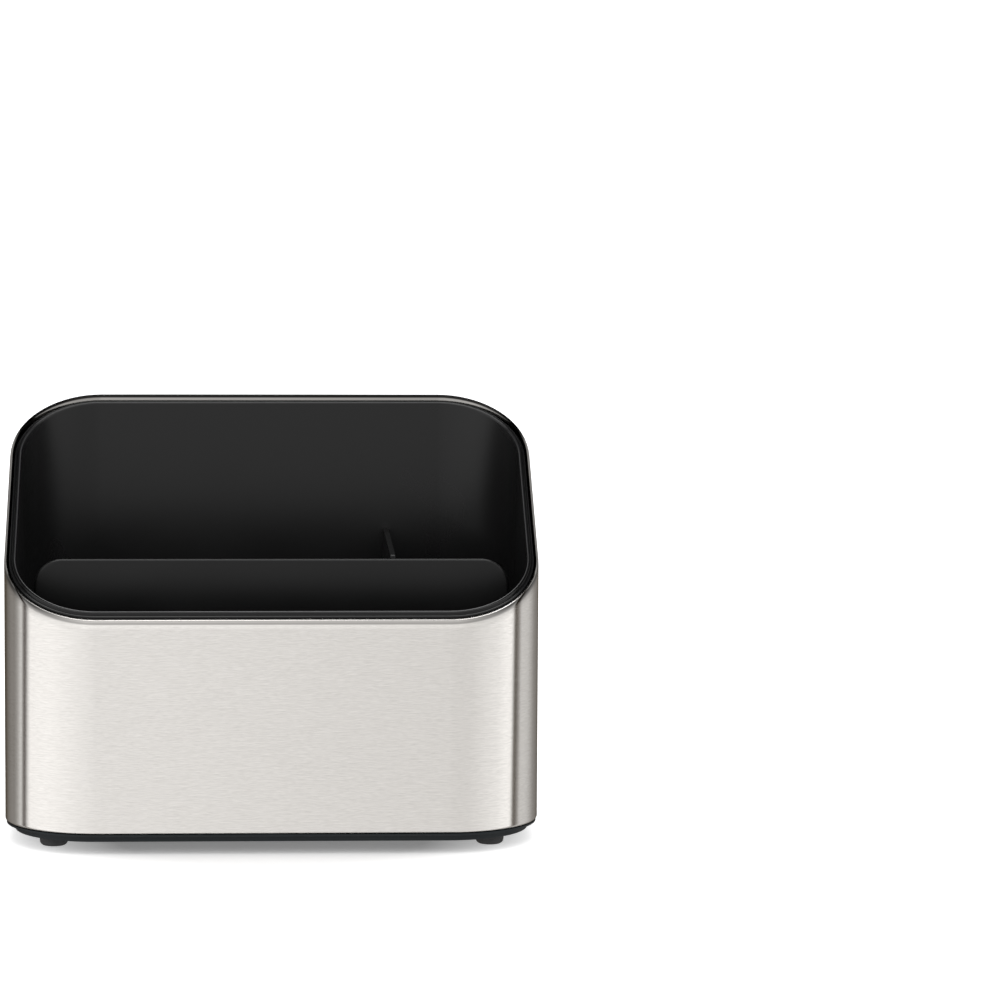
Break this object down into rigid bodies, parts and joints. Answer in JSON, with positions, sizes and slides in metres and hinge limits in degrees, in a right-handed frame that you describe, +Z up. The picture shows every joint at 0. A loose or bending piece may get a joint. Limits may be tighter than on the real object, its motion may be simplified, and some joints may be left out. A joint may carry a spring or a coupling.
{
  "type": "sink caddy",
  "caption": "Sink caddy: brushed steel sleeve with a rim sloping up to the back round a black lift-out tub, parted by a cross divider and a side partition, on round rubber feet",
  "frame": {"origin": "on the floor under the middle of the caddy, in the plane of its feet", "axes": "+X to the right seen from the front, along the caddy's length; the front, with the low side of the rim, faces -Y; +Z up"},
  "size_m": [0.196, 0.125, 0.155],
  "materials": {
    "brushed_steel": "horizontally brushed stainless steel, with a brighter polished lip",
    "slate_plastic": "fine matt, dark slate",
    "tray_plastic": "matt black",
    "foot_rubber": "matt dark grey rubber",
    "screw_zinc": "zinc-plated steel screw",
    "tub_plastic": "satin black",
    "divider_plastic": "satin black",
    "partition_plastic": "satin black"
  },
  "bodies": {
    "stand": {"outer_sleeve": "brushed_steel", "base_plate": "slate_plastic", "clamp_tray": "tray_plastic", "foot_front_left": "foot_rubber", "foot_front_right": "foot_rubber", "foot_rear_left": "foot_rubber", "foot_rear_right": "foot_rubber", "screw_front_left": "screw_zinc", "screw_front_right": "screw_zinc", "screw_rear_left": "screw_zinc", "screw_rear_right": "screw_zinc"},
    "tub": {"inner_tub": "tub_plastic"},
    "divider": {"sponge_divider": "divider_plastic"},
    "partition": {"brush_partition": "partition_plastic"}
  },
  "joints": [
    {"name": "tub_lift", "type": "slide", "parent": "stand", "child": "tub", "axis": [0, 0, 1], "range_m": [0, 0.145]},
    {"name": "divider_lift", "type": "slide", "parent": "tub", "child": "divider", "axis": [0, 0, 1], "range_m": [0, 0.1]},
    {"name": "partition_lift", "type": "slide", "parent": "tub", "child": "partition", "axis": [0, 0, 1], "range_m": [0, 0.14]}
  ]
}
